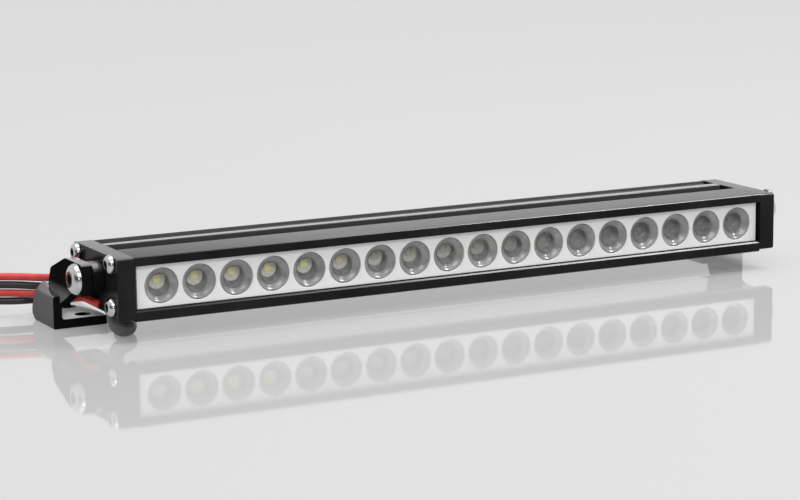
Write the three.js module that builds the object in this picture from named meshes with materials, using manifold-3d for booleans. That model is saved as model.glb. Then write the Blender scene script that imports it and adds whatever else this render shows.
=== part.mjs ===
// LED light bar for a one-tenth scale trail truck: a slim milled housing with one row of round
// collimator lenses, closed by two screwed end caps and held by two swivelling foot brackets.
// Millimetres. +Z is up, -Y is the way the light shines, +X runs along the bar away from the leads.
// The sizes below are measured from the middle of the bar; the finished group is then moved so
// that the origin is on the underside of the left foot, midway between its two holes.
import * as THREE from 'three';
import { mergeVertices } from 'three/addons/utils/BufferGeometryUtils.js';
import Module from 'manifold-3d';

const wasm = await Module();
wasm.setup();

// Driving dimensions
const BAR_LENGTH = 150;
const CAP_THICKNESS = 3.5;
const LENS_COUNT = 18;
const LENS_PITCH = 7.75;
const GAP = 0.05;

// Heights above the mounting plane
const LENS_Z = 10.4;
const TOP_Z = LENS_Z + 6;
const LIP_BOTTOM_Z = LENS_Z - 6.45;
const UNDERSIDE_Z = LENS_Z - 5.25;

// Depths
const FRONT_Y = -10.6;
const BACK_Y = 11.2;
const CAP_BACK_Y = 11.9;
const PLATE_FRONT_Y = -9.8;
const PLATE_THICKNESS = 1;
const PLATE_BACK_Y = PLATE_FRONT_Y + PLATE_THICKNESS;
const POCKET_BACK_Y = -1.8;

// Pivot axis, parallel to X
const PIVOT_Y = -1;
const PIVOT_Z = 11.5;

// Plate, lens pocket and lens
const PLATE_HALF_HEIGHT = 4.9;
const WINDOW_HALF_HEIGHT = 4.25;
const POCKET_HALF_LENGTH = 70;
const LENS_HOLE_RADIUS = 3.46;
const BOARD_THICKNESS = 1.6;
const LED_SIZE = 2.4;
const LED_HEIGHT = 0.65;

// Screws: head radius, head height, shank radius, shank length, socket width, socket depth
const CAP_SCREW = { head: 1.8, height: 1.2, shank: 0.75, length: 4.7, socket: 1.3, depth: 0.7 };
const PIVOT_BOLT = { head: 3, height: 1.5, shank: 1.45, length: 7.6, socket: 2, depth: 1 };

// Cap screw centres as [y, z]
const CAP_SCREW_PLACES = [
  [-7.6, LENS_Z + 4.6],
  [-7.7, LENS_Z - 3.6],
  [10, LENS_Z + 4.2],
  [10, LENS_Z - 2.3],
];

// Bracket
const SPACER_LENGTH = 2.3;
const SPACER_RADIUS = 3.2;
const EAR_THICKNESS = 2.2;
const EAR_INNER_X = BAR_LENGTH / 2 + SPACER_LENGTH;
const EAR_OUTER_X = EAR_INNER_X + EAR_THICKNESS;
const WALL_OUTER_X = EAR_OUTER_X + 1.4;
const WALL_THICKNESS = 1.8;
const WALL_INNER_X = WALL_OUTER_X - WALL_THICKNESS;
const WALL_FRONT_TOP_Z = 6.5;
const WALL_BACK_TOP_Z = 8.1;
const WALL_CHAMFER_Z = 6.2;
const FOOT_INNER_X = 69.8;
const FOOT_THICKNESS = 1.8;
const FOOT_FRONT_Y = 8.8;
const FOOT_BACK_Y = 24.4;
const WALL_BACK_Y = 20.9;
const FOOT_HOLE_RADIUS = 1.65;
const FOOT_HOLE_X = 73.7;
const FOOT_HOLE_SPACING = 8.2;
const FOOT_MIDDLE_Y = 16.1;

// Leads
const LEAD_RADIUS = 0.75;
const SLEEVE_RADIUS = 1.5;
const LEAD_HOLE_RADIUS = 0.85;
const CAP_FACE_X = -BAR_LENGTH / 2;
const UPPER_EXIT = { y: 4.9, z: 10.8 };
const RED_EXIT = { y: -0.9, z: 6.2 };
const SLEEVE_EXIT = { x: -73.2, y: -3.5 };
const LEAD_STACK_PITCH = 1.65;
const UPPER_EXIT_PITCH = 1.75;
const LEAD_GAP = 0.1;

const ROUND_SIDES = 16;
const SCREW_SIDES = 12;
const LEAD_SIDES = 8;

const blackAnodised = new THREE.MeshStandardMaterial({ color: 0x1d1d1f, roughness: 0.42, metalness: 0.8 });
const blackGloss = new THREE.MeshStandardMaterial({ color: 0x141415, roughness: 0.25, metalness: 0.6 });
const whiteSatin = new THREE.MeshStandardMaterial({ color: 0xdcdcda, roughness: 0.45, metalness: 0 });
const stainless = new THREE.MeshStandardMaterial({ color: 0xc2c4c6, roughness: 0.18, metalness: 1 });
const clearLens = new THREE.MeshStandardMaterial({ color: 0xb9bcbd, roughness: 0.06, metalness: 0 });
const phosphor = new THREE.MeshStandardMaterial({ color: 0xe0c22e, roughness: 0.55, metalness: 0 });
const boardWhite = new THREE.MeshStandardMaterial({ color: 0xe9e8e2, roughness: 0.6, metalness: 0 });
const redSilicone = new THREE.MeshStandardMaterial({ color: 0xc62a2a, roughness: 0.5, metalness: 0 });
const blackSilicone = new THREE.MeshStandardMaterial({ color: 0x202022, roughness: 0.5, metalness: 0 });

const X_AXIS = new THREE.Vector3(1, 0, 0);
const Y_AXIS = new THREE.Vector3(0, 1, 0);
const Z_AXIS = new THREE.Vector3(0, 0, 1);

// One closed shell with shared vertices, no slivers on the axis of a turned piece, and faces out.
function closedShell(geometry) {
  const bare = geometry.clone();
  bare.deleteAttribute('normal');
  bare.deleteAttribute('uv');
  const merged = mergeVertices(bare, 1e-4);
  const index = merged.getIndex().array;
  const position = merged.getAttribute('position');
  const corners = [0, 1, 2].map(() => new THREE.Vector3());
  const kept = [];
  let volume = 0;
  for (let start = 0; start < index.length; start += 3) {
    const [a, b, c] = index.slice(start, start + 3);
    if (a === b || b === c || c === a) continue;
    kept.push(a, b, c);
    [a, b, c].forEach((vertex, corner) => corners[corner].fromBufferAttribute(position, vertex));
    volume += corners[0].dot(corners[1].cross(corners[2]));
  }
  merged.setIndex(volume < 0 ? kept.reverse() : kept);
  return merged;
}

function toSolid(geometry) {
  const shell = closedShell(geometry);
  return new wasm.Manifold(new wasm.Mesh({
    numProp: 3,
    vertProperties: new Float32Array(shell.getAttribute('position').array),
    triVerts: new Uint32Array(shell.getIndex().array),
  }));
}

function toGeometry(solid) {
  const mesh = solid.getMesh();
  const geometry = new THREE.BufferGeometry();
  geometry.setAttribute('position', new THREE.Float32BufferAttribute(mesh.vertProperties, 3));
  geometry.setIndex(Array.from(mesh.triVerts));
  return geometry;
}

function makeMesh(name, geometry, material) {
  const shell = closedShell(geometry);
  shell.computeVertexNormals();
  const mesh = new THREE.Mesh(shell, material);
  mesh.name = name;
  return mesh;
}

// A closed outline from corners [a, b, radius]; a radius of zero or none leaves the corner sharp.
function outline(corners) {
  const shape = new THREE.Shape();
  corners.forEach(([a, b, radius = 0], i) => {
    const corner = new THREE.Vector2(a, b);
    const before = new THREE.Vector2(...corners.at(i - 1));
    const after = new THREE.Vector2(...corners[(i + 1) % corners.length]);
    const entry = before.sub(corner).setLength(radius).add(corner);
    const exit = after.sub(corner).setLength(radius).add(corner);
    if (i === 0) shape.moveTo(entry.x, entry.y);
    else shape.lineTo(entry.x, entry.y);
    if (radius > 0) shape.quadraticCurveTo(corner.x, corner.y, exit.x, exit.y);
  });
  shape.closePath();
  return shape;
}

function circle(radius, a = 0, b = 0) {
  const path = new THREE.Shape();
  path.absarc(a, b, radius, 0, 2 * Math.PI);
  return path;
}

// Extrusion of a shape drawn in (Y, Z) from x0 to x1.
function alongX(shape, x0, x1, curveSegments = 3) {
  const geometry = new THREE.ExtrudeGeometry(shape, { depth: x1 - x0, bevelEnabled: false, curveSegments });
  geometry.applyMatrix4(new THREE.Matrix4().makeBasis(Y_AXIS, Z_AXIS, X_AXIS));
  return geometry.translate(x0, 0, 0);
}

// Extrusion of a shape drawn in (Z, X) from y0 to y1.
function alongY(shape, y0, y1, curveSegments = 3) {
  const geometry = new THREE.ExtrudeGeometry(shape, { depth: y1 - y0, bevelEnabled: false, curveSegments });
  geometry.applyMatrix4(new THREE.Matrix4().makeBasis(Z_AXIS, X_AXIS, Y_AXIS));
  return geometry.translate(0, y0, 0);
}

function box([x0, y0, z0], [x1, y1, z1]) {
  const geometry = new THREE.BoxGeometry(x1 - x0, y1 - y0, z1 - z0);
  return geometry.translate((x0 + x1) / 2, (y0 + y1) / 2, (z0 + z1) / 2);
}

// Milled housing: the section with its top grooves and plate slot, then the pocket and end holes.
function housingSection() {
  const z = (height) => LENS_Z + height;
  const backGrooves = [-2.1, 0, 2.1].flatMap((height) => [
    [BACK_Y, z(height - 0.5)], [BACK_Y - 1.3, z(height - 0.5)],
    [BACK_Y - 1.3, z(height + 0.5)], [BACK_Y, z(height + 0.5)],
  ]);
  return outline([
    [FRONT_Y, LIP_BOTTOM_Z, 0.5],
    [FRONT_Y + 3.3, LIP_BOTTOM_Z, 0.5],
    [FRONT_Y + 4.7, UNDERSIDE_Z, 0.5],
    [BACK_Y, UNDERSIDE_Z, 1],
    ...backGrooves,
    [BACK_Y, TOP_Z, 0.3],
    [BACK_Y - 0.6, TOP_Z],
    [BACK_Y - 0.6, TOP_Z - 0.6],
    [6.7, TOP_Z - 0.6],
    [6.7, TOP_Z, 0.2],
    [4.25, TOP_Z, 0.2],
    [4.25, TOP_Z - 1.6],
    [-1.2, TOP_Z - 1.6],
    [-1.2, TOP_Z],
    [FRONT_Y, TOP_Z, 0.35],
    [FRONT_Y, z(WINDOW_HALF_HEIGHT)],
    [PLATE_FRONT_Y - GAP, z(WINDOW_HALF_HEIGHT)],
    [PLATE_FRONT_Y - GAP, z(PLATE_HALF_HEIGHT + GAP)],
    [PLATE_BACK_Y + GAP, z(PLATE_HALF_HEIGHT + GAP)],
    [PLATE_BACK_Y + GAP, z(-PLATE_HALF_HEIGHT - GAP)],
    [PLATE_FRONT_Y - GAP, z(-PLATE_HALF_HEIGHT - GAP)],
    [PLATE_FRONT_Y - GAP, z(-WINDOW_HALF_HEIGHT)],
    [FRONT_Y + 0.3, z(-WINDOW_HALF_HEIGHT)],
    [FRONT_Y, z(-WINDOW_HALF_HEIGHT - 0.3)],
  ]);
}

function housingGeometry() {
  const half = BAR_LENGTH / 2 - CAP_THICKNESS - GAP;
  const pocket = box(
    [-POCKET_HALF_LENGTH, PLATE_BACK_Y - GAP, LENS_Z - WINDOW_HALF_HEIGHT],
    [POCKET_HALF_LENGTH, POCKET_BACK_Y, LENS_Z + WINDOW_HALF_HEIGHT],
  );
  const wiringRecess = box(
    [-half - 1, RED_EXIT.y - 3, LENS_Z - WINDOW_HALF_HEIGHT],
    [-half + 3, UPPER_EXIT.y + 1, UPPER_EXIT.z + 2.6],
  );
  let solid = toSolid(alongX(housingSection(), -half, half));
  solid = solid.subtract(toSolid(pocket)).subtract(toSolid(wiringRecess));
  for (const [y, z] of CAP_SCREW_PLACES) {
    const hole = circle(CAP_SCREW.shank + GAP, y, z);
    solid = solid.subtract(toSolid(alongX(hole, -half - 1, -half + 1.4, 6)));
    solid = solid.subtract(toSolid(alongX(hole, half - 1.4, half + 1, 6)));
  }
  return toGeometry(solid);
}

// End cap: a flat plate with four screw holes, the pivot hole and, on the left, the lead holes.
function endCapGeometry(side) {
  const face = outline([
    [FRONT_Y, LIP_BOTTOM_Z + 0.35, 0.8],
    [FRONT_Y + 3.3, LIP_BOTTOM_Z + 0.35, 0.6],
    [FRONT_Y + 4.7, UNDERSIDE_Z, 0.6],
    [CAP_BACK_Y, UNDERSIDE_Z, 1.2],
    [CAP_BACK_Y, TOP_Z, 0.6],
    [FRONT_Y, TOP_Z, 0.8],
  ]);
  for (const [y, z] of CAP_SCREW_PLACES) face.holes.push(circle(CAP_SCREW.shank + GAP, y, z));
  face.holes.push(circle(PIVOT_BOLT.shank + GAP, PIVOT_Y, PIVOT_Z));
  if (side < 0) {
    face.holes.push(circle(LEAD_HOLE_RADIUS, UPPER_EXIT.y, UPPER_EXIT.z));
    face.holes.push(circle(LEAD_HOLE_RADIUS, UPPER_EXIT.y, UPPER_EXIT.z + UPPER_EXIT_PITCH));
    face.holes.push(circle(LEAD_HOLE_RADIUS, RED_EXIT.y, RED_EXIT.z));
  }
  const outer = side * BAR_LENGTH / 2;
  const inner = side * (BAR_LENGTH / 2 - CAP_THICKNESS);
  return alongX(face, Math.min(outer, inner), Math.max(outer, inner), 6);
}

// Button-head socket screw turned about +Y, its head's bearing face at y = 0.
function buttonScrewGeometry(screw, sides) {
  const crownAngles = [0, 0.25, 0.5, 0.72].map((turn) => turn * Math.PI / 2);
  const rimHeight = 0.25 * screw.height;
  const crown = crownAngles.map((angle) => new THREE.Vector2(
    screw.head * Math.cos(angle),
    rimHeight + (screw.height - rimHeight) * Math.sin(angle) / Math.sin(crownAngles.at(-1)),
  ));
  const profile = [
    new THREE.Vector2(0, -screw.length),
    new THREE.Vector2(screw.shank, -screw.length),
    new THREE.Vector2(screw.shank, 0),
    new THREE.Vector2(screw.head, 0),
    ...crown,
    new THREE.Vector2(0, screw.height),
  ];
  const socketRadius = screw.socket / Math.sqrt(3);
  const socket = new THREE.CylinderGeometry(socketRadius, socketRadius, 2 * screw.depth, 6);
  const body = toSolid(new THREE.LatheGeometry(profile, sides));
  return toGeometry(body.subtract(toSolid(socket.translate(0, screw.height, 0))));
}

function placeScrew(name, screw, sides, side, x, y, z) {
  const mesh = makeMesh(name, buttonScrewGeometry(screw, sides), stainless);
  mesh.rotation.z = -side * Math.PI / 2;
  mesh.position.set(side * x, y, z);
  return mesh;
}

// White front plate with one round window for each lens.
function plateGeometry() {
  const half = BAR_LENGTH / 2 - CAP_THICKNESS - 0.6;
  const shape = outline([
    [-half, -PLATE_HALF_HEIGHT],
    [half, -PLATE_HALF_HEIGHT],
    [half, PLATE_HALF_HEIGHT],
    [-half, PLATE_HALF_HEIGHT],
  ]);
  for (let i = 0; i < LENS_COUNT; i += 1) shape.holes.push(circle(LENS_HOLE_RADIUS, lensX(i), 0));
  const geometry = new THREE.ExtrudeGeometry(shape, {
    depth: PLATE_THICKNESS, bevelEnabled: false, curveSegments: ROUND_SIDES / 2,
  });
  return geometry.rotateX(Math.PI / 2).translate(0, PLATE_BACK_Y, LENS_Z);
}

function lensX(i) {
  return (i - (LENS_COUNT - 1) / 2) * LENS_PITCH;
}

// Collimator lens turned about +Y: front disc in the plate window, flange, cone and LED recess.
function lensGeometry() {
  const front = PLATE_FRONT_Y + 0.25;
  const flangeFront = PLATE_BACK_Y + 2 * GAP;
  const tip = POCKET_BACK_Y - BOARD_THICKNESS - LED_HEIGHT - 0.6;
  const profile = [
    [0, front],
    [LENS_HOLE_RADIUS - 0.08, front],
    [LENS_HOLE_RADIUS - 0.08, flangeFront],
    [3.7, flangeFront],
    [3.7, flangeFront + 0.4],
    [1.75, tip],
    [1.2, tip],
    [1.2, tip - 1.3],
    [0, tip - 1.7],
  ];
  return new THREE.LatheGeometry(profile.map(([r, y]) => new THREE.Vector2(r, y)), ROUND_SIDES);
}

function addOptics(group) {
  const boardFront = POCKET_BACK_Y - GAP - BOARD_THICKNESS;
  const board = box(
    [-POCKET_HALF_LENGTH + 0.6, boardFront, LENS_Z - 4.15],
    [POCKET_HALF_LENGTH - 0.6, boardFront + BOARD_THICKNESS, LENS_Z + 4.15],
  );
  group.add(makeMesh('led_board', board, boardWhite));
  group.add(makeMesh('bezel_plate', plateGeometry(), whiteSatin));
  for (let i = 0; i < LENS_COUNT; i += 1) {
    const number = String(i + 1).padStart(2, '0');
    const lens = makeMesh(`lens_${number}`, lensGeometry(), clearLens);
    lens.position.set(lensX(i), 0, LENS_Z);
    const led = makeMesh(`led_${number}`, new THREE.BoxGeometry(LED_SIZE, LED_HEIGHT, LED_SIZE), phosphor);
    led.position.set(lensX(i), boardFront - GAP - LED_HEIGHT / 2, LENS_Z);
    group.add(lens, led);
  }
}

// Bracket, drawn for the right end: foot plate, outboard wall, and an ear set inboard of the wall
// that reaches forward to the pivot.
function bracketGeometry(side) {
  const wallSection = outline([
    [0, WALL_INNER_X - 1],
    [FOOT_THICKNESS, WALL_INNER_X - 1],
    [FOOT_THICKNESS, WALL_INNER_X, 0.5],
    [WALL_BACK_TOP_Z, WALL_INNER_X],
    [WALL_BACK_TOP_Z, EAR_OUTER_X - 0.3],
    [WALL_CHAMFER_Z, WALL_OUTER_X, 0.3],
    [0, WALL_OUTER_X, 0.4],
  ]);
  const wallSide = outline([
    [FOOT_FRONT_Y, 0],
    [WALL_BACK_Y - 1.5, 0],
    [WALL_BACK_Y, 1.2],
    [WALL_BACK_Y, 2.4, 0.5],
    [WALL_BACK_Y - 2.8, WALL_BACK_TOP_Z, 0.5],
    [FOOT_FRONT_Y + 1.6, WALL_FRONT_TOP_Z, 1],
    [FOOT_FRONT_Y, WALL_FRONT_TOP_Z],
  ]);
  const earSide = outline([
    [-3.4, 14.6, 0.8],
    [-3.4, 8.3, 1.2],
    [2.4, 8.2, 0.8],
    [4.8, 6.9, 0.8],
    [FOOT_FRONT_Y, 5],
    [FOOT_FRONT_Y, 4.4],
    [14.8, 4.4],
    [14.8, 8.7, 0.5],
    [13.5, 11.5, 0.6],
    [5.3, 14.6, 0.6],
  ]);
  const footSection = outline([
    [0, FOOT_INNER_X, 0.4],
    [FOOT_THICKNESS, FOOT_INNER_X, 0.4],
    [FOOT_THICKNESS, WALL_INNER_X],
    [0, WALL_INNER_X],
  ]);
  let solid = toSolid(alongY(wallSection, FOOT_FRONT_Y, WALL_BACK_Y));
  solid = solid.intersect(toSolid(alongX(wallSide, FOOT_INNER_X, WALL_OUTER_X + 1)));
  solid = solid.add(toSolid(alongY(footSection, FOOT_FRONT_Y, FOOT_BACK_Y)));
  solid = solid.add(toSolid(alongX(earSide, EAR_INNER_X, EAR_OUTER_X)));
  const pivotHole = circle(PIVOT_BOLT.shank + GAP, PIVOT_Y, PIVOT_Z);
  solid = solid.subtract(toSolid(alongX(pivotHole, EAR_INNER_X - 1, EAR_OUTER_X + 1, 8)));
  for (const y of [FOOT_MIDDLE_Y - FOOT_HOLE_SPACING / 2, FOOT_MIDDLE_Y + FOOT_HOLE_SPACING / 2]) {
    const drill = new THREE.CylinderGeometry(FOOT_HOLE_RADIUS, FOOT_HOLE_RADIUS, 3 * FOOT_THICKNESS, 24);
    solid = solid.subtract(toSolid(drill.rotateX(Math.PI / 2).translate(FOOT_HOLE_X, y, 0)));
  }
  return toGeometry(solid).scale(side, 1, 1);
}

// Plain spacer tube round the pivot bolt, between the end cap and the ear.
function spacerGeometry(side) {
  const ring = circle(SPACER_RADIUS, PIVOT_Y, PIVOT_Z);
  ring.holes.push(circle(PIVOT_BOLT.shank + GAP, PIVOT_Y, PIVOT_Z));
  const ends = [side * (BAR_LENGTH / 2 + GAP), side * (EAR_INNER_X - GAP)];
  return alongX(ring, Math.min(...ends), Math.max(...ends), 8);
}

function addEnd(group, label, side) {
  group.add(makeMesh(`end_cap_${label}`, endCapGeometry(side), blackAnodised));
  CAP_SCREW_PLACES.forEach(([y, z], i) => {
    const name = `cap_screw_${label}_${i + 1}`;
    group.add(placeScrew(name, CAP_SCREW, SCREW_SIDES, side, BAR_LENGTH / 2 + GAP, y, z));
  });
  group.add(makeMesh(`pivot_spacer_${label}`, spacerGeometry(side), blackGloss));
  const boltX = EAR_OUTER_X + GAP;
  group.add(placeScrew(`pivot_bolt_${label}`, PIVOT_BOLT, ROUND_SIDES, side, boltX, PIVOT_Y, PIVOT_Z));
  group.add(makeMesh(`bracket_${label}`, bracketGeometry(side), blackGloss));
}

// A round flexible lead through the given points.
function leadGeometry(points, radius, steps) {
  const through = points.map((point) => new THREE.Vector3(...point));
  const path = new THREE.CatmullRomCurve3(through, false, 'centripetal');
  return new THREE.ExtrudeGeometry(circle(radius), {
    steps, bevelEnabled: false, extrudePath: path, curveSegments: LEAD_SIDES / 2,
  });
}

// Behind the bracket the four leads lie one above the other and run outboard and back.
function leadTail(stackIndex) {
  const z = 8 - stackIndex * LEAD_STACK_PITCH;
  return [[-82, 24.6, z - 0.1], [-90, 28.2, z + 0.1], [-108, 36.3, z + 0.6]];
}

// The two upper leads leave the cap behind the pivot and pass over the rear lower screw.
function upperLead(stackIndex, exitZ) {
  const { y } = UPPER_EXIT;
  return [
    [CAP_FACE_X - LEAD_GAP, y, exitZ],
    [CAP_FACE_X - 0.4, y, exitZ],
    [CAP_FACE_X - 1, y + 0.5, exitZ],
    [CAP_FACE_X - 1.25, y + 1.8, exitZ],
    [CAP_FACE_X - 1.25, y + 4.5, exitZ - 0.1],
    [CAP_FACE_X - 1.25, y + 7.2, exitZ - 0.5],
    [CAP_FACE_X - 1.3, y + 10.5, exitZ - 2.4],
    [CAP_FACE_X - 1.7, y + 14.2, exitZ - 4.3],
    [CAP_FACE_X - 3.4, y + 17.6, exitZ - 4.8],
    ...leadTail(stackIndex),
  ];
}

function lowerRedLead() {
  const { y, z } = RED_EXIT;
  return [
    [CAP_FACE_X - LEAD_GAP, y, z],
    [CAP_FACE_X - 0.4, y, z],
    [CAP_FACE_X - 1.1, y + 0.6, z + 0.35],
    [CAP_FACE_X - 1.45, y + 3, z + 0.75],
    [CAP_FACE_X - 1.45, y + 6, z + 0.35],
    [CAP_FACE_X - 1.45, y + 10, z - 0.45],
    [CAP_FACE_X - 1.45, y + 14.2, z - 1.45],
    [CAP_FACE_X - 1.8, y + 19, z - 2],
    [CAP_FACE_X - 3.6, y + 23.4, z - 1.8],
    ...leadTail(2),
  ];
}

// Heat-shrink sleeve: drops from the underside of the left cap and turns back along the mounting
// surface, under the bar.
const SLEEVE_POINTS = [
  [SLEEVE_EXIT.x, SLEEVE_EXIT.y, UNDERSIDE_Z - LEAD_GAP],
  [SLEEVE_EXIT.x, SLEEVE_EXIT.y, UNDERSIDE_Z - 0.4],
  [-73.1, -3.9, 3],
  [-72.3, -4.3, 1.8],
  [-70.9, -4, 1.55],
  [-69.6, -2, 1.55],
  [-68.8, 1.5, 1.55],
  [-68.5, 5, 1.55],
];

function lowerBlackLead() {
  const [x, y, z] = SLEEVE_POINTS.at(-1);
  return [
    [x, y + 3 * LEAD_GAP, z],
    [x, y + 0.8, z],
    [x + 0.2, y + 6, z + 0.7],
    [x, y + 12, z + 1.5],
    [x - 1.4, y + 17, z + 1.6],
    [x - 6, y + 19.5, z + 1.4],
    ...leadTail(3).map(([tailX, tailY, tailZ]) => [tailX, tailY + 0.6, tailZ]),
  ];
}

function addLeads(group) {
  const topExitZ = UPPER_EXIT.z + UPPER_EXIT_PITCH;
  const leads = [
    ['lead_red_upper', upperLead(0, topExitZ), 26, redSilicone],
    ['lead_black_upper', upperLead(1, UPPER_EXIT.z), 26, blackSilicone],
    ['lead_red_lower', lowerRedLead(), 28, redSilicone],
    ['lead_black_lower', lowerBlackLead(), 26, blackSilicone],
  ];
  for (const [name, points, steps, silicone] of leads) {
    group.add(makeMesh(name, leadGeometry(points, LEAD_RADIUS, steps), silicone));
  }
  group.add(makeMesh('lead_sleeve', leadGeometry(SLEEVE_POINTS, SLEEVE_RADIUS, 22), blackSilicone));
}

const lightBar = new THREE.Group();
lightBar.add(makeMesh('housing', housingGeometry(), blackAnodised));
addOptics(lightBar);
addEnd(lightBar, 'left', -1);
addEnd(lightBar, 'right', 1);
addLeads(lightBar);
lightBar.position.set(FOOT_HOLE_X, -FOOT_MIDDLE_Y, 0);

export default lightBar;
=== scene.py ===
"""Looks of the led light bar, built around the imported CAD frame. Metres throughout."""

import math

import bmesh
import bpy
from mathutils import Matrix, Vector


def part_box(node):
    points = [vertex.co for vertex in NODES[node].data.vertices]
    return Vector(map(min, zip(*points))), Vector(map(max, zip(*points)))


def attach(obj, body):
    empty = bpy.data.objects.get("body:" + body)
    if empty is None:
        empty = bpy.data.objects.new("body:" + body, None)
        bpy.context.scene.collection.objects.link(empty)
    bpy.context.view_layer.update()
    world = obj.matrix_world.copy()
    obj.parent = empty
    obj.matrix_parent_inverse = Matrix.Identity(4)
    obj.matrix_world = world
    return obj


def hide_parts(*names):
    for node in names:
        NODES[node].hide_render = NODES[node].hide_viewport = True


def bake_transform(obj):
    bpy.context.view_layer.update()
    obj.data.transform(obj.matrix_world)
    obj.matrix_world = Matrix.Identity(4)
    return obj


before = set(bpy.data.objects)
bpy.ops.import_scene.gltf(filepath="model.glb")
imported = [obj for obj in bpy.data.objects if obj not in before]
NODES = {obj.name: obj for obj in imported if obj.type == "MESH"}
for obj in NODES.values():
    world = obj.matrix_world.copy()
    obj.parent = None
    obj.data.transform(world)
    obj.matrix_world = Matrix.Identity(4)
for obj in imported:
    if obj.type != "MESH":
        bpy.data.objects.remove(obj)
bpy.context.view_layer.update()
MM = 0.001
SIDES = ("left", "right")
LENS_NAMES = sorted(name for name in NODES if name.startswith("lens_"))
LED_NAMES = sorted(name for name in NODES if name.startswith("led_") and name != "led_board")
LEAD_NAMES = ("lead_red_upper", "lead_black_upper", "lead_red_lower", "lead_black_lower")
X, Y, Z = 0, 1, 2


def centre(node):
    low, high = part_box(node)
    return (low + high) / 2


def size(node):
    low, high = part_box(node)
    return high - low


# ---------------------------------------------------------------- materials


def grey(level):
    return (level, level, level)


class Finish:
    """A procedural material around one Principled shader, in object coordinates."""

    def __init__(self, name, colour, roughness, **inputs):
        self.material = bpy.data.materials.new(name)
        self.material.use_nodes = True
        self.tree = self.material.node_tree
        self.shader = self.tree.nodes["Principled BSDF"]
        self.put("Base Color", (*colour, 1))
        self.put("Roughness", roughness)
        for key, value in inputs.items():
            self.put(key.replace("_", " "), value)
        self.place = self.node("TexCoord").outputs["Object"]

    def put(self, socket, value):
        """Sets or links one input of the shader."""
        self.wire(self.shader.inputs[socket], value)

    def wire(self, socket, value):
        if isinstance(value, bpy.types.NodeSocket):
            self.tree.links.new(value, socket)
        else:
            socket.default_value = value

    def node(self, kind, settings=None, **inputs):
        made = self.tree.nodes.new("ShaderNode" + kind)
        for key, value in (settings or {}).items():
            setattr(made, key, value)
        for key, value in inputs.items():
            self.wire(made.inputs[key.replace("_", " ")], value)
        return made

    def noise(self, scale, detail=3, stretch=(1, 1, 1)):
        """Noise with that many features to a metre, most of it between 0.3 and 0.7."""
        mapping = self.node("Mapping", Vector=self.place, Scale=stretch)
        noise = self.node("TexNoise", Vector=mapping.outputs[0], Scale=scale, Detail=detail)
        return noise.outputs["Fac"]

    def between(self, factor, low, high, start=0.3, end=0.7):
        """A value going from low to high as the factor goes from start to end."""
        made = self.node("MapRange", Value=factor, From_Min=start, From_Max=end, To_Min=low, To_Max=high)
        return made.outputs["Result"]

    def blend(self, factor, first, second):
        """The first colour where the factor is 0, the second where it is 1."""
        made = self.node("Mix", {"data_type": "RGBA"}, Factor=factor)
        self.wire(made.inputs[6], (*first, 1) if isinstance(first, tuple) else first)
        self.wire(made.inputs[7], (*second, 1) if isinstance(second, tuple) else second)
        return made.outputs[2]

    def mottle(self, noise, first, second):
        """Two colours mixed by a noise."""
        return self.blend(self.between(noise, 0, 1), first, second)

    def maths(self, operation, first, second=0.0):
        made = self.node("Math", {"operation": operation})
        self.wire(made.inputs[0], first)
        self.wire(made.inputs[1], second)
        return made.outputs[0]

    def both(self, first, second):
        """1 where two masks are both 1."""
        return self.maths("MULTIPLY", first, second)

    def part(self, axis):
        """One object coordinate."""
        return self.node("SeparateXYZ", Vector=self.place).outputs[axis]

    def below(self, value, level, soft):
        """1 where the value is below a level, and 0 from soft above it on."""
        return self.between(value, 1.0, 0.0, level, level + soft)

    def within(self, value, low, high, soft=0.05 * MM):
        """1 where the value lies between two levels."""
        middle, half = (low + high) / 2, (high - low) / 2
        away = self.maths("ABSOLUTE", self.maths("SUBTRACT", value, middle))
        return self.below(away, half, soft)

    def looking(self, axis, start, end):
        """How far the surface's normal points along an axis: 0 up to start, 1 from end on."""
        normal = self.node("NewGeometry").outputs["Normal"]
        share = self.node("SeparateXYZ", Vector=normal).outputs[axis]
        return self.between(share, 0.0, 1.0, start, end)

    def seen_aside(self, start, end):
        """0 seen from straight in front of the bar, 1 from further round than the given angles."""
        toward_eye = self.node("NewGeometry").outputs["Incoming"]
        ahead = self.node("SeparateXYZ", Vector=toward_eye).outputs[Y]
        return self.between(ahead, 0.0, 1.0, *(-math.cos(math.radians(angle)) for angle in (start, end)))

    def bump(self, height, depth, strength=1.0):
        made = self.node("Bump", Height=height, Distance=depth, Strength=strength)
        self.put("Normal", made.outputs["Normal"])


CLEAR_COAT_IOR = 1.8
# Pale greys of the painted highlight on the bracket foot's top
FOOT_SHEEN_GREY = (grey(0.26), grey(0.36))
# Distances in front of the housing's rear face
RIB = (4.95 * MM, 6.55 * MM)
GROOVE = (6.9 * MM, 12.3 * MM)
REAR_WALL = (0.3 * MM, 4.4 * MM)
GROOVE_DEPTH = 1.7 * MM
# Length from the left end over which the painted sheen on the front land fades in
SHEEN_FADE_LENGTH = 45 * MM
# Heights in the frame
LIP_TOP = 7 * MM
FOOT_TOP = 2.5 * MM
WALL_TOP = 7 * MM


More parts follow.
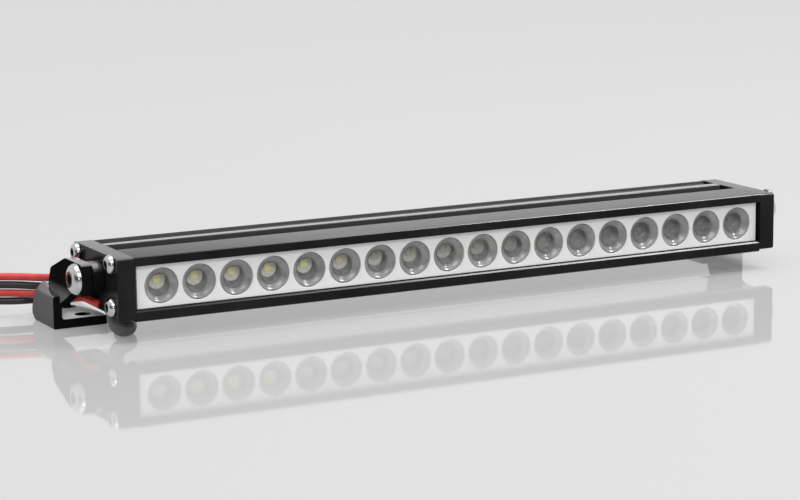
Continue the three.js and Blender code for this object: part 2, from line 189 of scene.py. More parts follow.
def anodised_finish(name, stretch, tone, upright_gloss, grain_depth):
    """Black anodised aluminium: deep on upright faces; on the faces that look up, fine brushing lines and
    a paler colour that is a painted sheen.

    It keeps its mask (up) and its two colours, for upright faces and for faces that look up with their
    painted sheen, for the finishes built on it.
    """
    made = Finish(name, grey(tone), 0.25)
    lines = made.noise(900, 4, stretch)
    cloud = made.noise(90, 3)
    grain = made.noise(6000, 2)
    made.up = made.looking(Z, 0.45, 0.8)
    made.put("Roughness", made.between(lines, 0.21, 0.23 + 0.4 * grain_depth))
    made.put("Specular IOR Level", made.between(made.up, upright_gloss, 0.5, 0, 1))
    dark = (tone * 0.7, tone * 0.7, tone * 0.72)
    light = (tone * 1.7, tone * 1.7, tone * 1.75)
    made.upright = made.mottle(cloud, dark, light)
    # Faces that look up get a paler colour with brushing lines: painted sheen.
    brushing = made.between(lines, 0, 1, 0.35, 0.65)
    made.brushed = made.blend(brushing, (0.035, 0.035, 0.036), (0.085, 0.085, 0.087))
    made.put("Base Color", made.blend(made.up, made.upright, made.brushed))
    made.bump(made.maths("ADD", lines, made.maths("MULTIPLY", grain, 0.3)), 0.012 * MM, grain_depth)
    return made


def housing_finish():
    """The extrusion: a painted highlight on its rib, paler groove walls and rear wall, and painted shade
    on its lower lip's ledge.

    On the front land the painted sheen fades out toward the left end, and the underside has a clear coat.
    """
    made = anodised_finish("housing_black", (0.03, 1, 1), 0.009, 0.12, 0.3)
    low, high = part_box("housing")
    along, across, height = made.part(X), made.part(Y), made.part(Z)
    in_groove = made.between(height, 0.0, 1.0, high.z - GROOVE_DEPTH, high.z - GROOVE_DEPTH + 0.1 * MM)

    def strip(edges):
        """A band along the bar, no deeper than the top groove."""
        near, far = edges
        return made.both(in_groove, made.within(across, high.y - far, high.y - near))

    # The groove walls and the rear wall are paler grey.
    upright = made.blend(strip(GROOVE), made.upright, grey(0.048))
    upright = made.blend(strip(REAR_WALL), upright, grey(0.1))
    # Painted shade: the painted sheen on the front land fades out toward the left end.
    sheen_fade = made.between(along, 0.0, 1.0, low.x, low.x + SHEEN_FADE_LENGTH)
    brushed = made.blend(sheen_fade, grey(0.02), made.brushed)
    # Painted highlight: the top of the rib is pale grey.
    brushed = made.blend(strip(RIB), brushed, grey(0.28))
    # Painted shade: the ledge of the lower lip is near black and reflects nothing, a shadow gap under the
    # plate.
    lip = made.below(height, LIP_TOP, 1 * MM)
    brushed = made.blend(lip, brushed, grey(0.004))
    made.put("Base Color", made.blend(made.up, upright, brushed))
    ledge = made.both(lip, made.looking(Z, 0.85, 0.95))
    sheen = made.both(made.up, made.between(sheen_fade, 0.16, 0.5, 0, 1))
    gloss = made.maths("ADD", sheen, 0.1)
    made.put("Specular IOR Level", made.both(gloss, made.maths("SUBTRACT", 1.0, ledge)))
    made.put("Coat Weight", made.looking(Z, -0.6, -0.9))
    made.put("Coat IOR", CLEAR_COAT_IOR)
    return made.material


def bracket_finish():
    """Glossier than the bar, with a painted highlight on the foot's pale grey top and painted sheen on the
    wall's faces that look left.
    """
    made = anodised_finish("bracket_black", (1, 1, 1), 0.008, 0.0, 0.02)
    height = made.part(Z)
    # Painted highlight: the foot's top is pale mottled grey; the other faces that look up get a darker
    # grey painted sheen.
    foot_sheen = made.mottle(made.noise(3000, 3), *FOOT_SHEEN_GREY)
    top = made.blend(made.below(height, FOOT_TOP, 0.2 * MM), grey(0.05), foot_sheen)
    # Painted sheen: the wall's faces that look left are a paler grey.
    wall = made.both(made.looking(X, -0.6, -0.9), made.below(height, WALL_TOP, 2 * MM))
    upright = made.blend(wall, made.upright, grey(0.16))
    made.put("Base Color", made.blend(made.up, upright, top))
    made.put("Coat Weight", made.up)
    made.put("Coat Roughness", 0.12)
    made.put("Coat IOR", CLEAR_COAT_IOR)
    return made.material


def steel_finish(name, tone, low, high):
    """Turned stainless steel, its roughness varying between two levels."""
    made = Finish(name, (tone, tone, tone * 1.01), 0.14, Metallic=1.0)
    scratches = made.noise(1600, 4, (1, 1, 0.25))
    made.put("Roughness", made.between(scratches, low, high))
    made.bump(scratches, 0.006 * MM, 0.5)
    return made.material


def plate_finish():
    """White lacquer with fine flecks, and a painted shadow line where its lower edge enters the slot."""
    made = Finish("white_plate", (0.8, 0.8, 0.79), 0.42, Specular_IOR_Level=0.4)
    grain = made.noise(2500, 3)
    white = made.mottle(made.noise(60, 2), (0.76, 0.76, 0.755), (0.81, 0.81, 0.8))
    fleck = made.between(made.noise(4500, 2), 0.0, 0.12)
    white = made.blend(fleck, white, grey(0.45))
    # Painted shadow: a dark line along the plate's lower edge, where it enters its slot.
    shadow_line = centre("bezel_plate").z - 4.08 * MM
    made.put("Base Color", made.blend(made.below(made.part(Z), shadow_line, 0.05 * MM), white, grey(0.03)))
    made.put("Roughness", made.between(grain, 0.36, 0.5))
    made.bump(grain, 0.015 * MM, 0.4)
    return made.material


def insulation_finish(name, colour, dusty):
    """Silicone lead insulation: satin, slightly mottled, with a faint chalky bloom."""
    made = Finish(name, colour, 0.38, Specular_IOR_Level=0.5)
    cloud = made.noise(500, 4)
    grain = made.noise(4000, 2)
    made.put("Base Color", made.blend(made.between(cloud, 0, 0.6), colour, dusty))
    made.put("Roughness", made.between(grain, 0.3, 0.5))
    made.bump(grain, 0.01 * MM, 0.4)
    return made.material


def optic_finish():
    """Clear moulded plastic seen against its grey cup: slightly cloudy under a hard gloss."""
    made = Finish("clear_optic", grey(0.2), 0.2, Specular_IOR_Level=0.5, Coat_Weight=0.5)
    made.put("Coat Roughness", 0.05)
    cloud = made.noise(380, 3)
    made.put("Base Color", made.mottle(cloud, grey(0.2), (0.33, 0.33, 0.328)))
    made.bump(cloud, 0.05 * MM, 0.5)
    return made.material


def cavity_finish():
    """The inner wall of an optic, glossier than its rim and a little darker: painted shade in the recess.
    """
    made = Finish("optic_cavity", (0.12, 0.12, 0.118), 0.14, Specular_IOR_Level=0.5)
    made.put("Base Color", made.mottle(made.noise(700, 3), (0.18, 0.18, 0.178), (0.32, 0.32, 0.312)))
    return made.material


def emitter_finish(name, first, second, scale, fades):
    """What the lens shows of the emitter: bright from the front, dull and then dark from further round."""
    made = Finish(name, first, 0.35)
    grain = made.noise(scale, 2)
    bright = made.mottle(grain, first, second)
    dull = made.mottle(grain, (0.3, 0.3, 0.27), (0.4, 0.4, 0.36))
    dark = made.mottle(grain, grey(0.15), (0.24, 0.24, 0.238))
    shown = made.blend(made.seen_aside(*fades), bright, dull)
    made.put("Base Color", made.blend(made.seen_aside(30.5, 34.0), shown, dark))
    return made.material


def board_finish():
    """White solder mask."""
    made = Finish("board_white", (0.7, 0.69, 0.65), 0.5)
    made.bump(made.noise(3000, 2), 0.01 * MM, 0.3)
    return made.material


def floor_finish():
    """White acrylic with a polished face, glowing as if lit from below, and a painted shadow under the bar
    where the glow is weaker.
    """
    made = Finish("studio_floor", grey(0.23), 0.04, Specular_IOR_Level=0.3)
    made.put("Roughness", made.between(made.noise(6, 2), 0.03, 0.05))
    low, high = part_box("housing")
    across = made.within(made.part(X), low.x, high.x, 4 * MM)
    along = made.within(made.part(Y), low.y + 1 * MM, high.y, 4 * MM)
    # Painted shadow: the glow is weaker over the bar's footprint.
    glow_and_shadow = made.between(made.both(across, along), 0.38, 0.26, 0, 1)
    mirrored = made.node("Fresnel", IOR=1.36).outputs[0]
    made.put("Emission Color", (1, 1, 1, 1))
    made.put("Emission Strength", made.both(made.maths("SUBTRACT", 1.0, mirrored), glow_and_shadow))
    return made.material


HOUSING_BLACK = housing_finish()
CAP_BLACK = anodised_finish("cap_black", (1, 1, 1), 0.011, 0.06, 0.05).material
BRACKET_BLACK = bracket_finish()
STEEL = steel_finish("polished_steel", 0.6, 0.1, 0.22)
# Painted shade: the socket's darker steel stands in for the shade inside it.
SHADED_SOCKET = steel_finish("shaded_socket_steel", 0.1, 0.3, 0.5)
PLATE_WHITE = plate_finish()
OPTIC = optic_finish()
CAVITY = cavity_finish()
CREAM = emitter_finish("emitter_cream", (0.5, 0.49, 0.44), (0.66, 0.65, 0.6), 2500, (27.5, 32.0))
PHOSPHOR = emitter_finish("led_phosphor", (0.62, 0.6, 0.3), (0.75, 0.73, 0.42), 4000, (27.9, 28.7))
BOARD = board_finish()
RED = insulation_finish("red_silicone", (0.6, 0.03, 0.03), (0.68, 0.08, 0.075))
BLACK = insulation_finish("black_silicone", (0.012, 0.012, 0.013), (0.03, 0.03, 0.032))
SLEEVE = insulation_finish("sleeve_shrink", grey(0.08), grey(0.2))


# ---------------------------------------------------------------- meshes


def dress(node, material):
    """Gives a CAD node its finish."""
    obj = NODES[node]
    obj.data.materials.clear()
    obj.data.materials.append(material)
    return obj


def smooth_edges(obj, width, segments=3):
    """Rounds a machined piece's edges in geometry."""
    normals = obj.data.attributes.get("custom_normal")
    if normals:
        obj.data.attributes.remove(normals)
    for face in obj.data.polygons:
        face.use_smooth = True
    weld = obj.modifiers.new("weld", "WELD")
    weld.merge_threshold = 0.005 * MM
    flat = obj.modifiers.new("flat", "DECIMATE")
    flat.decimate_type = "DISSOLVE"
    flat.angle_limit = math.radians(1)
    bevel = obj.modifiers.new("edges", "BEVEL")
    bevel.width = width
    bevel.segments = segments
    bevel.limit_method = "ANGLE"
    bevel.angle_limit = math.radians(28)
    bevel.harden_normals = True
    bevel.use_clamp_overlap = True
    return obj


def make_object(name, mesh, materials, body, replaced=()):
    """A piece that stands for CAD nodes, riding on the body if one is given."""
    obj = bpy.data.objects.new(name, mesh)
    bpy.context.scene.collection.objects.link(obj)
    for material in materials:
        mesh.materials.append(material)
    if body:
        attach(obj, body)
    if replaced:
        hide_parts(*replaced)
    return obj


def mesh_from(name, bm, sharp=32):
    """The finished mesh of a bmesh, smooth except at edges sharper than the given angle."""
    bmesh.ops.remove_doubles(bm, verts=bm.verts, dist=1e-7)
    bmesh.ops.recalc_face_normals(bm, faces=bm.faces)
    for face in bm.faces:
        face.smooth = True
    for edge in bm.edges:
        edge.smooth = edge.calc_face_angle(0) < math.radians(sharp)
    mesh = bpy.data.meshes.new(name)
    bm.to_mesh(mesh)
    bm.free()
    return mesh


def turns_of(steps):
    """The angles of a whole turn in equal steps."""
    return [2 * math.pi * i / steps for i in range(steps)]


def ring_about_y(bm, radius, y, sides):
    return [bm.verts.new((radius * math.cos(t), y, radius * math.sin(t))) for t in turns_of(sides)]


def bridge(bm, first, second):
    """The faces between two rings of as many vertices; a ring of one vertex is a tip."""
    sides = max(len(first), len(second))
    faces = []
    for i in range(sides):
        j = (i + 1) % sides
        if len(first) == 1:
            corners = (first[0], second[i], second[j])
        elif len(second) == 1:
            corners = (first[i], first[j], second[0])
        else:
            corners = (first[i], first[j], second[j], second[i])
        faces.append(bm.faces.new(corners))
    return faces


def turned(profile, sides=64, materials=None):
    """A closed body turned about +Y from (radius, y) pairs, starting and ending on the axis."""
    bm = bmesh.new()
    rings = []
    for radius, y in profile:
        on_axis = radius < 1e-9
        rings.append([bm.verts.new((0, y, 0))] if on_axis else ring_about_y(bm, radius, y, sides))
    for row, (first, second) in enumerate(zip(rings, rings[1:])):
        for face in bridge(bm, first, second):
            face.material_index = materials[row] if materials else 0
    return bm


def closed_ring(loop, sides=64):
    """A closed body turned about +Y from a loop of (radius, y) pairs that stays off the axis."""
    bm = bmesh.new()
    rings = [ring_about_y(bm, radius, y, sides) for radius, y in loop]
    for first, second in zip(rings, rings[1:] + rings[:1]):
        bridge(bm, first, second)
    return bm


def place_outward(bm, side, place):
    """Turns a body built about +Y so that +Y points out of that end of the bar, and places it."""
    turn = Matrix.Rotation(math.radians(90 if side == "left" else -90), 4, "Z")
    bmesh.ops.transform(bm, matrix=Matrix.Translation(place) @ turn, verts=bm.verts)


def place_facing_front(bm, place):
    """Stands a sheet drawn in the XY plane upright, and places it."""
    stand = Matrix.Translation(place) @ Matrix.Rotation(math.radians(90), 4, "X")
    bmesh.ops.transform(bm, matrix=stand, verts=bm.verts)


# ---------------------------------------------------------------- screws and spacers

SCREW_SIDES = 72
CROWN_STEPS = 12
# Head height, width across the socket's flats, socket depth, shank radius
SCREWS = {
    "cap_screw": (1.2 * MM, 1.3 * MM, 0.7 * MM, 0.75 * MM),
    "pivot_bolt": (1.5 * MM, 2.0 * MM, 1.0 * MM, 1.45 * MM),
}
SOCKET_INDEX = 1
SPACER_BORE, SPACER_CHAMFER = 1.5 * MM, 0.18 * MM


def hexagon_radius(flats, turn):
    """Distance from the centre to a hexagon's side, at that angle."""
    sector = math.radians(60)
    return flats / 2 / math.cos(turn % sector - sector / 2)


def screw_body(shank, length, head, height, flats):
    """Button-head screw about +Y, open at the top of its head, its bearing face at y = 0."""
    mouth = 0.68 * flats
    rim = 0.16 * height
    profile = [(0, -length), (0.85 * shank, -length), (shank, 0.12 * shank - length)]
    profile += [(shank, 0), (head - 0.06 * MM, 0), (head, 0.06 * MM)]
    for step in range(CROWN_STEPS + 1):
        angle = math.radians(90 * step / CROWN_STEPS)
        crown = rim + (height - rim) * math.sin(angle)
        profile.append((mouth + (head - mouth) * math.cos(angle) ** 0.92, crown))
    bm = turned(profile + [(0, height)], SCREW_SIDES)
    lid = [v for v in bm.verts if v.co.y > height - 1e-9 and v.co.xz.length < 1e-9]
    bmesh.ops.delete(bm, geom=lid, context="VERTS")
    return bm


def cut_socket(bm, height, flats, depth):
    """The hexagon socket, from the open mouth down to its drilled tip."""
    above = [v for v in bm.verts if v.co.y > height - 1e-9]
    above.sort(key=lambda v: math.atan2(v.co.z, v.co.x) % (2 * math.pi))
    floor = height - depth
    levels = [(1.06, height - 0.01 * MM), (1.0, height - 0.07 * MM), (1.0, floor), (0.9, floor)]
    faces = []
    for share, level in levels:
        ring = []
        for turn in turns_of(SCREW_SIDES):
            radius = share * hexagon_radius(flats, turn)
            ring.append(bm.verts.new((radius * math.cos(turn), level, radius * math.sin(turn))))
        faces += bridge(bm, above, ring)
        above = ring
    faces += bridge(bm, above, [bm.verts.new((0, floor - 0.2 * flats, 0))])
    # The socket's faces take the darker steel, painted shade.
    for face in faces:
        face.material_index = SOCKET_INDEX


def add_screw(kind, side, suffix=""):
    """A screw over its CAD node, its socket turned differently from its neighbours'."""
    node = f"{kind}_{side}{suffix}"
    low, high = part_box(node)
    height, flats, depth, shank = SCREWS[kind]
    bearing = low.x + height if side == "left" else high.x - height
    bm = screw_body(shank, high.x - low.x - height, (high.y - low.y) / 2, height, flats)
    cut_socket(bm, height, flats, depth)
    middle = centre(node)
    turn = Matrix.Rotation(math.radians(17 * (middle.y + middle.z) / MM), 4, "Y")
    bmesh.ops.transform(bm, matrix=turn, verts=bm.verts)
    place_outward(bm, side, Vector((bearing, middle.y, middle.z)))
    mesh = mesh_from(f"{node}_look", bm, 25)
    make_object(f"{node}_look", mesh, [STEEL, SHADED_SOCKET], "light_bar", [node])


def add_spacer(side):
    node = f"pivot_spacer_{side}"
    half, radius = size(node).x / 2, size(node).y / 2
    bm = closed_ring([
        (SPACER_BORE, -half), (radius - SPACER_CHAMFER, -half), (radius, SPACER_CHAMFER - half),
        (radius, half - SPACER_CHAMFER), (radius - SPACER_CHAMFER, half), (SPACER_BORE, half),
    ])
    place_outward(bm, side, centre(node))
    make_object(f"{node}_look", mesh_from(node, bm), [BRACKET_BLACK], "light_bar", [node])


# ---------------------------------------------------------------- plate and optics

WINDOW_RADIUS = 3.46 * MM
PLATE_CORNER, PLATE_EDGE = 0.3 * MM, 0.12 * MM

# (radius, depth behind the plate's front face, finish of the surface up to the next point), in mm
RIM, WALL, BOTTOM = 0, 1, 2
OPTIC_PROFILE = [
    # the cone behind the plate and its flange
    (0, 5.1, RIM), (1.2, 5.1, RIM), (1.75, 5.08, RIM), (3.62, 1.75, RIM), (3.7, 1.5, RIM),
    (3.7, 1.12, RIM), (3.4, 1.1, RIM), (3.39, 0.42, RIM),
    # the rounded rim in the window
    (3.35, 0.32, RIM), (3.26, 0.27, RIM), (3.16, 0.29, RIM), (3.08, 0.36, RIM),
    # shallow steps down to the mouth
    (2.98, 0.48, RIM), (2.9, 0.53, RIM), (2.72, 0.7, RIM), (2.64, 0.74, RIM), (2.45, 0.95, RIM),
    (2.28, 1.12, RIM), (2.2, 1.18, RIM), (2.17, 1.34, WALL), (2.11, 1.34, RIM), (2.08, 1.22, RIM),
    # the cavity
    (2.04, 1.3, WALL), (2.0, 1.5, WALL), (1.94, 1.8, WALL), (1.9, 2.1, WALL), (1.84, 2.4, WALL),
    # the bright bottom round the emitter
    (1.78, 2.58, BOTTOM), (1.62, 2.64, BOTTOM), (1.5, 2.6, BOTTOM), (1.38, 2.64, BOTTOM),
    (1.2, 2.66, BOTTOM), (0, 2.62, BOTTOM),
]
OPTIC_SIDES = 72
MOUTH_RADIUS, MOUTH_DEPTH, BOTTOM_DEPTH = 2.05 * MM, 1.3 * MM, 2.62 * MM
BACK_DEPTH = 4 * MM
BOTTOM_RISE, DIE_RISE = 0.75 * MM, 0.9 * MM
DIE_HALF, DIE_CORNER, DIE_THICKNESS, DIE_EDGE = 0.8 * MM, 0.22 * MM, 0.14 * MM, 0.04 * MM
DIE_PROUD = 0.02 * MM


def rounded_rectangle(half_width, half_height, radius, steps=5):
    corners = [(1, 1, 0), (-1, 1, 90), (-1, -1, 180), (1, -1, 270)]
    points = []
    for sx, sy, start in corners:
        for step in range(steps + 1):
            angle = math.radians(start + 90 * step / steps)
            x = sx * (half_width - radius) + radius * math.cos(angle)
            points.append((x, sy * (half_height - radius) + radius * math.sin(angle)))
    return points


def circle(x, radius, steps=72):
    return [(x + radius * math.cos(t), radius * math.sin(t)) for t in turns_of(steps)]


def sheet(name, loops, thickness, edge):
    """A flat sheet in the XY plane with holes and rounded edges, from closed outlines."""
    curve = bpy.data.curves.new(name, "CURVE")
    curve.dimensions = "2D"
    curve.fill_mode = "BOTH"
    curve.extrude = thickness / 2 - edge
    curve.bevel_depth = edge
    curve.bevel_resolution = 2
    curve.offset = -edge
    for loop in loops:
        spline = curve.splines.new("POLY")
        spline.points.add(len(loop) - 1)
        for point, (x, y) in zip(spline.points, loop):
            point.co = (x, y, 0, 1)
        spline.use_cyclic_u = True
    return bmesh_of_curve(name, curve)


def bmesh_of_curve(name, curve):
    holder = bpy.data.objects.new(name, curve)
    bpy.context.scene.collection.objects.link(holder)
    bpy.context.view_layer.update()
    mesh = bpy.data.meshes.new_from_object(holder.evaluated_get(bpy.context.evaluated_depsgraph_get()))
    bpy.data.objects.remove(holder)
    bpy.data.curves.remove(curve)
    bm = bmesh.new()
    bm.from_mesh(mesh)
    bpy.data.meshes.remove(mesh)
    for face in bm.faces:
        face.material_index = 0
    return bm


def add_plate():
    middle, extent = centre("bezel_plate"), size("bezel_plate")
    loops = [rounded_rectangle(extent.x / 2, extent.z / 2, PLATE_CORNER)]
    loops += [circle(centre(name).x - middle.x, WINDOW_RADIUS) for name in LENS_NAMES]
    bm = sheet("plate", loops, extent.y, PLATE_EDGE)
    place_facing_front(bm, middle)
    mesh = mesh_from("plate", bm, 40)
    make_object("plate_look", mesh, [PLATE_WHITE], "light_bar", ["bezel_plate"])


def lift_inner(bm):
    """Leans the inner cavity upward: the optic shows its emitter above the axis."""
    for vertex in bm.verts:
        if vertex.co.xz.length < MOUTH_RADIUS and vertex.co.y < BACK_DEPTH:
            share = (vertex.co.y - MOUTH_DEPTH) / (BOTTOM_DEPTH - MOUTH_DEPTH)
            vertex.co.z += BOTTOM_RISE * min(1, max(0, share))


def add_lens(name, led):
    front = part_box("bezel_plate")[0].y
    middle = centre(name)
    profile = [(radius * MM, depth * MM) for radius, depth, _ in OPTIC_PROFILE]
    bm = turned(profile, OPTIC_SIDES, [finish for _, _, finish in OPTIC_PROFILE])
    lift_inner(bm)
    bmesh.ops.translate(bm, vec=(middle.x, front, middle.z), verts=bm.verts)
    mesh = mesh_from(name, bm, 50)
    make_object(f"{name}_look", mesh, [OPTIC, CAVITY, CREAM], "light_bar", [name])
    add_emitter(led, (middle.x, front + BOTTOM_DEPTH - DIE_PROUD, middle.z + DIE_RISE))


def add_emitter(node, place):
    """The LED die as the lens shows it, standing just proud of the cavity's bottom."""
    bm = sheet(node, [rounded_rectangle(DIE_HALF, DIE_HALF, DIE_CORNER)], DIE_THICKNESS, DIE_EDGE)
    place_facing_front(bm, place)
    make_object(f"{node}_look", mesh_from(node, bm), [PHOSPHOR], "light_bar", [node])


# ---------------------------------------------------------------- leads

LEAD_RADIUS, SLEEVE_RADIUS = 0.75 * MM, 1.5 * MM
# How far a lead dips near the housing's rear face, and half the length of the dip
DIP, DIP_HALF_LENGTH = 0.95 * MM, 5.5 * MM
STRAND_RADIUS, STRAND_CIRCLE = 0.13 * MM, 0.27 * MM
STRAND_INSIDE, STRAND_OUTSIDE = 0.4 * MM, 0.25 * MM


def centreline(node, axis, sign):
    """Ring centres along a CAD tube, from the end that lies furthest along the given axis."""
    bm = bmesh.new()
    bm.from_mesh(NODES[node].data)
    bmesh.ops.remove_doubles(bm, verts=bm.verts, dist=0.01 * MM)
    furthest = max(sign * v.co[axis] for v in bm.verts)
    ring = {v for v in bm.verts if sign * v.co[axis] > furthest - 0.01 * MM}
    seen, centres = set(), []
    while ring:
        seen |= ring
        centres.append(sum((v.co for v in ring), Vector()) / len(ring))
        ring = {edge.other_vert(v) for v in ring for edge in v.link_edges} - seen
    bm.free()
    return centres


def add_tube(node, finish, radius, centres):
    """Insulation along a centreline. It rides on nothing yet."""
    curve = bpy.data.curves.new(node, "CURVE")
    curve.dimensions = "3D"
    curve.bevel_depth = radius
    curve.bevel_resolution = 8
    curve.resolution_u = 5
    curve.use_fill_caps = True
    spline = curve.splines.new("NURBS")
    spline.points.add(len(centres) - 1)
    for point, place in zip(spline.points, centres):
        point.co = (*place, 1)
    spline.use_endpoint_u = True
    spline.order_u = 4
    mesh = mesh_from(node, bmesh_of_curve(node, curve), 60)
    return make_object(f"{node}_look", mesh, [finish], None, [node])


def lay_under_bar(centres):
    """Lowers a lead where the bar's rear edge comes down over it as the bar tilts."""
    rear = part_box("housing")[1].y - 1.2 * MM
    for place in centres:
        share = max(0.0, 1 - abs(place.y - rear) / DIP_HALF_LENGTH)
        place.z -= DIP * share * share * (3 - 2 * share)


def add_strands(node, centres):
    """The cut end: seven tinned strands standing just proud of the insulation."""
    last, before = centres[-1], centres[-2]
    outward = (last - before).to_track_quat("Y", "Z").to_matrix().to_4x4()
    profile = [
        (0, -STRAND_INSIDE), (STRAND_RADIUS, -STRAND_INSIDE), (STRAND_RADIUS, STRAND_OUTSIDE - 0.05 * MM),
        (0.6 * STRAND_RADIUS, STRAND_OUTSIDE), (0, STRAND_OUTSIDE),
    ]
    spots = [(0, 0)] + [(STRAND_CIRCLE * math.cos(t), STRAND_CIRCLE * math.sin(t)) for t in turns_of(6)]
    bm = bmesh.new()
    for x, z in spots:
        strand = turned(profile, 16)
        bmesh.ops.translate(strand, vec=(x, 0, z), verts=strand.verts)
        part = bpy.data.meshes.new("strand")
        strand.to_mesh(part)
        strand.free()
        bm.from_mesh(part)
        bpy.data.meshes.remove(part)
    bmesh.ops.transform(bm, matrix=Matrix.Translation(last) @ outward, verts=bm.verts)
    make_object(f"{node}_strands", mesh_from(f"{node}_strands", bm), [STEEL], "left_bracket")


def add_fixed_lead(node):
    """The lower black lead runs under the bar and stays with the bracket."""
    centres = centreline(node, Y, -1)
    lay_under_bar(centres)
    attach(add_tube(node, BLACK, LEAD_RADIUS, centres), "left_bracket")
    add_strands(node, centres)


def add_bending_lead(node):
    """A lead that leaves the end cap and runs between the bar and the bracket."""
    finish, slot_name = (RED, "red_silicone") if "red" in node else (BLACK, "black_silicone")
    centres = centreline(node, X, 1)
    lead = add_tube(node, finish, LEAD_RADIUS, centres)
    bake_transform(lead)
    add_strands(node, centres)


def add_sleeve():
    """The shrink sleeve round the lower black lead, under the end cap."""
    centres = centreline("lead_sleeve", Z, 1)
    sleeve = add_tube("lead_sleeve", SLEEVE, SLEEVE_RADIUS, centres)
    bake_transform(sleeve)


# ---------------------------------------------------------------- brackets

BRACKET_EDGE, EAR_CHAMFER = 0.12 * MM, 0.42 * MM
PIVOT_HOLE = 1.7 * MM
EAR_BOTTOM = 8.4 * MM


def add_bracket(side):
    """A wide chamfer round the ear's outer face, then small rounded edges on the whole piece."""
    obj = smooth_edges(dress(f"bracket_{side}", BRACKET_BLACK), BRACKET_EDGE, 2)
    low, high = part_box(f"pivot_bolt_{side}")
    pivot = (low + high) / 2
    head_height = SCREWS["pivot_bolt"][0]
    ear_face = low.x + head_height if side == "left" else high.x - head_height
    outline = obj.vertex_groups.new(name="ear_outline")
    for vertex in obj.data.vertices:
        on_face = abs(vertex.co.x - ear_face) < 0.1 * MM
        off_hole = (vertex.co.yz - pivot.yz).length > PIVOT_HOLE
        if on_face and off_hole and vertex.co.z > EAR_BOTTOM:
            outline.add([vertex.index], 1.0, "REPLACE")
    chamfer = obj.modifiers.new("chamfer", "BEVEL")
    chamfer.width = EAR_CHAMFER
    chamfer.segments = 1
    chamfer.limit_method = "VGROUP"
    chamfer.vertex_group = outline.name
    before_edges = 2
    obj.modifiers.move(len(obj.modifiers) - 1, before_edges)


# ---------------------------------------------------------------- assembly

HOUSING_EDGE, CAP_EDGE = 0.1 * MM, 0.2 * MM

smooth_edges(dress("housing", HOUSING_BLACK), HOUSING_EDGE)
dress("led_board", BOARD)
for side in SIDES:
    smooth_edges(dress(f"end_cap_{side}", CAP_BLACK), CAP_EDGE)
    add_bracket(side)
    add_spacer(side)
    add_screw("pivot_bolt", side)
    for number in range(1, 5):
        add_screw("cap_screw", side, f"_{number}")
add_plate()
for lens, led in zip(LENS_NAMES, LED_NAMES):
    add_lens(lens, led)
for lead in LEAD_NAMES:
    if lead == "lead_black_lower":
        add_fixed_lead(lead)
    else:
        add_bending_lead(lead)
add_sleeve()


# ---------------------------------------------------------------- studio

# Name, place from the bar's middle, width, height, power
SOFTBOXES = [
    ("top_light", (0, 0.1, 0.9), 1.2, 0.8, 3.8),
    ("front_light", (-0.1, -0.6, 0.55), 0.6, 0.3, 2),
    ("right_light", (0.45, -0.13, 0.6), 0.2, 0.2, 3),
    ("camera_light", (-0.25, -0.68, 0.165), 0.07, 0.07, 0.3),
]
WORLD_LEVEL, DARK_LEVEL = 0.78, 0.1
TOWARD_CAMERA = (-0.6, -0.8, 0)
CAMERA_AZIMUTH, CAMERA_ELEVATION, CAMERA_ROLL = -27.69, 10.49, -0.575
CAMERA_DISTANCE, CAMERA_RIGHT, CAMERA_UP = 506.23 * MM, -13.254 * MM, 0.6856 * MM
CAMERA_LENS, CAMERA_APERTURE = 113.49, 110


def add_floor():
    bm = bmesh.new()
    bmesh.ops.create_grid(bm, x_segments=1, y_segments=1, size=4)
    mesh = bpy.data.meshes.new("floor")
    bm.to_mesh(mesh)
    bm.free()
    floor = bpy.data.objects.new("floor", mesh)
    bpy.context.scene.collection.objects.link(floor)
    mesh.materials.append(floor_finish())


def add_softbox(name, offset, width, height, power):
    """A rectangular light aimed at the bar's middle."""
    light = bpy.data.lights.new(name, "AREA")
    light.shape = "RECTANGLE"
    light.size = width
    light.size_y = height
    light.energy = power
    obj = bpy.data.objects.new(name, light)
    bpy.context.scene.collection.objects.link(obj)
    target = centre("housing")
    obj.location = target + Vector(offset)
    obj.rotation_euler = (target - obj.location).to_track_quat("-Z", "Y").to_euler()


def ramp(tree, value, start, end, low=0.0, high=1.0):
    """A value going from low to high as another goes from start to end."""
    made = tree.nodes.new("ShaderNodeMapRange")
    tree.links.new(value, made.inputs["Value"])
    levels = {"From Min": start, "From Max": end, "To Min": low, "To Max": high}
    for socket, level in levels.items():
        made.inputs[socket].default_value = level
    return made.outputs["Result"]


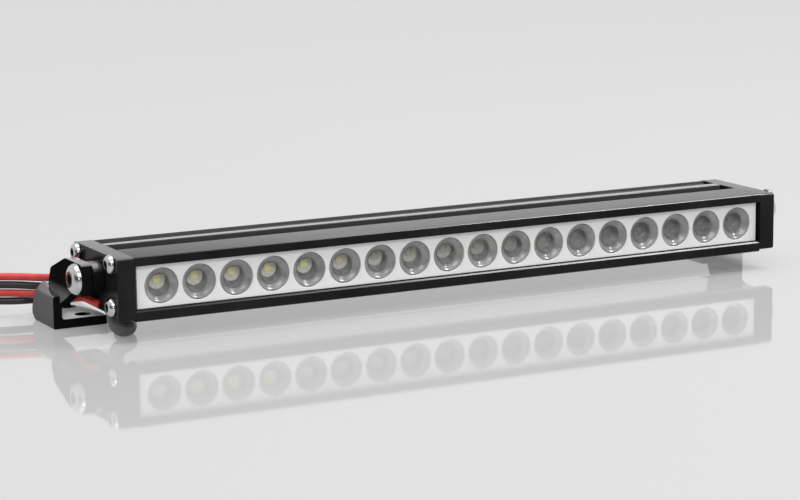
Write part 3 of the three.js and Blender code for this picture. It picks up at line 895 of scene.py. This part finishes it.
def add_surroundings():
    """A pale studio whose low front, behind the camera, is dark."""
    world = bpy.data.worlds.new("studio")
    world.use_nodes = True
    bpy.context.scene.world = world
    tree = world.node_tree
    direction = tree.nodes.new("ShaderNodeTexCoord").outputs["Generated"]
    toward = tree.nodes.new("ShaderNodeVectorMath")
    toward.operation = "DOT_PRODUCT"
    tree.links.new(direction, toward.inputs[0])
    toward.inputs[1].default_value = TOWARD_CAMERA
    split = tree.nodes.new("ShaderNodeSeparateXYZ")
    tree.links.new(direction, split.inputs[0])
    both = tree.nodes.new("ShaderNodeMath")
    both.operation = "MULTIPLY"
    tree.links.new(ramp(tree, toward.outputs["Value"], 0.2, 0.6), both.inputs[0])
    tree.links.new(ramp(tree, split.outputs[Z], 0.5, 0.3), both.inputs[1])
    background = tree.nodes["Background"]
    background.inputs["Color"].default_value = (1, 1, 1, 1)
    level = ramp(tree, both.outputs[0], 0.0, 1.0, WORLD_LEVEL, DARK_LEVEL)
    tree.links.new(level, background.inputs["Strength"])


def camera_pose():
    """The camera looks at the plate's middle, shifted sideways and upward in its own view."""
    a, e, r = (math.radians(angle) for angle in (CAMERA_AZIMUTH, CAMERA_ELEVATION, CAMERA_ROLL))
    back = Vector((math.sin(a) * math.cos(e), -math.cos(a) * math.cos(e), math.sin(e)))
    right = (-back).cross(Vector((0, 0, 1))).normalized()
    up = right.cross(-back)
    plate = centre("bezel_plate")
    target = Vector((plate.x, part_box("bezel_plate")[0].y, plate.z))
    place = target + back * CAMERA_DISTANCE + right * CAMERA_RIGHT + up * CAMERA_UP
    rolled_right = right * math.cos(r) + up * math.sin(r)
    rolled_up = up * math.cos(r) - right * math.sin(r)
    turn = Matrix((rolled_right, rolled_up, back)).transposed().to_4x4()
    return Matrix.Translation(place) @ turn


def add_camera():
    data = bpy.data.cameras.new("camera")
    data.lens = CAMERA_LENS
    data.sensor_width = 36
    data.clip_start = 0.01
    data.clip_end = 50
    data.dof.use_dof = True
    data.dof.aperture_fstop = CAMERA_APERTURE
    data.dof.focus_object = NODES["bracket_left"]
    camera = bpy.data.objects.new("camera", data)
    bpy.context.scene.collection.objects.link(camera)
    camera.matrix_world = camera_pose()
    bpy.context.scene.camera = camera


add_floor()
add_surroundings()
for softbox in SOFTBOXES:
    add_softbox(*softbox)
add_camera()
bpy.context.scene.view_settings.view_transform = "Standard"
